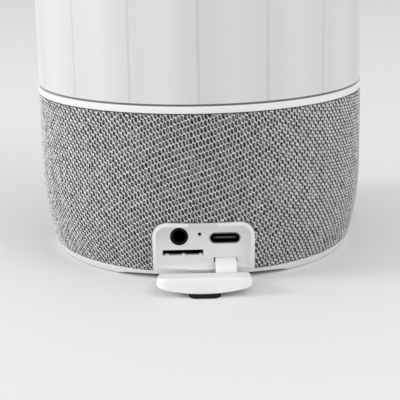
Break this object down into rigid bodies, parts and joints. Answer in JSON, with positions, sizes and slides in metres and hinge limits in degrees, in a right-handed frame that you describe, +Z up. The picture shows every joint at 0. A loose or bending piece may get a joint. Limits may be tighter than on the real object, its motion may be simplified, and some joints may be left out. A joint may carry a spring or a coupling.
{
  "type": "speaker lamp",
  "caption": "Round bedside lamp with a knitted speaker base, a port bay whose cover with a dark pull tab hangs open on a flexible strap, and a tall frosted shade.",
  "frame": {"origin": "on the table at the lamp's upright axis, in the plane of the rubber foot strips", "axes": "+Z up through the shade, -Y out of the port bay, +X to the right of the port bay as seen from the front"},
  "size_m": [0.1014, 0.1137, 0.182],
  "materials": {
    "white_plastic": "fine satin moulded plastic",
    "white_silicone": "soft matt silicone",
    "knitted_fabric": "open two-tone knit of grey yarn",
    "frosted_shade": "frosted translucent plastic",
    "dark_rubber": "matt black rubber",
    "inner_plastic": "plain moulded grey plastic",
    "screw_steel": "zinc-plated steel",
    "socket_steel": "bright stamped steel",
    "black_plastic": "black moulded plastic",
    "socket_tongue": "black moulded insulator",
    "circuit_board": "green solder mask",
    "lamp_board": "white coated aluminium",
    "cell_wrap": "blue shrink wrap",
    "basket_paint": "black coat",
    "magnet_ferrite": "dark ferrite",
    "cone_paper": "pressed paper pulp",
    "coil_wire": "enamelled wire",
    "radiator_metal": "brushed",
    "lamp_phosphor": "yellow phosphor"
  },
  "bodies": {
    "lamp": {"base_ring": "white_plastic", "bottom_cover": "inner_plastic", "foot_strips": "dark_rubber", "cover_screws": "screw_steel", "radiator_surround": "dark_rubber", "radiator_plate": "radiator_metal", "inner_can": "inner_plastic", "grille_cage": "inner_plastic", "fabric_sleeve": "knitted_fabric", "rim_band": "white_plastic", "seam_gasket": "dark_rubber", "deck_plate": "inner_plastic", "deck_screws": "screw_steel", "port_panel": "white_plastic", "flap_strap": "white_silicone", "port_board": "circuit_board", "audio_jack": "black_plastic", "usb_housing": "socket_steel", "usb_tongue": "socket_tongue", "card_socket": "socket_steel", "status_led": "lamp_phosphor", "battery_holder": "inner_plastic", "battery_cell": "cell_wrap", "main_board": "circuit_board", "board_chips": "black_plastic", "board_screws": "screw_steel", "driver_basket": "basket_paint", "driver_magnet": "magnet_ferrite", "driver_cone": "cone_paper", "driver_surround": "dark_rubber", "driver_dust_cap": "cone_paper", "voice_coil": "coil_wire", "driver_screws": "screw_steel", "led_board": "lamp_board", "led_lamps": "lamp_phosphor", "light_post": "white_plastic", "touch_board": "circuit_board", "top_cap": "white_plastic", "lamp_shade": "frosted_shade"},
    "port_cover": {"flap_cover": "white_silicone", "pull_tab": "dark_rubber"}
  },
  "joints": [
    {"name": "port_cover_hinge", "type": "hinge", "parent": "lamp", "child": "port_cover", "pos_m": [0, -0.0467, 0.00139], "axis": [1, 0, 0], "range_deg": [-78, 0], "deforming": ["flap_strap"]}
  ]
}
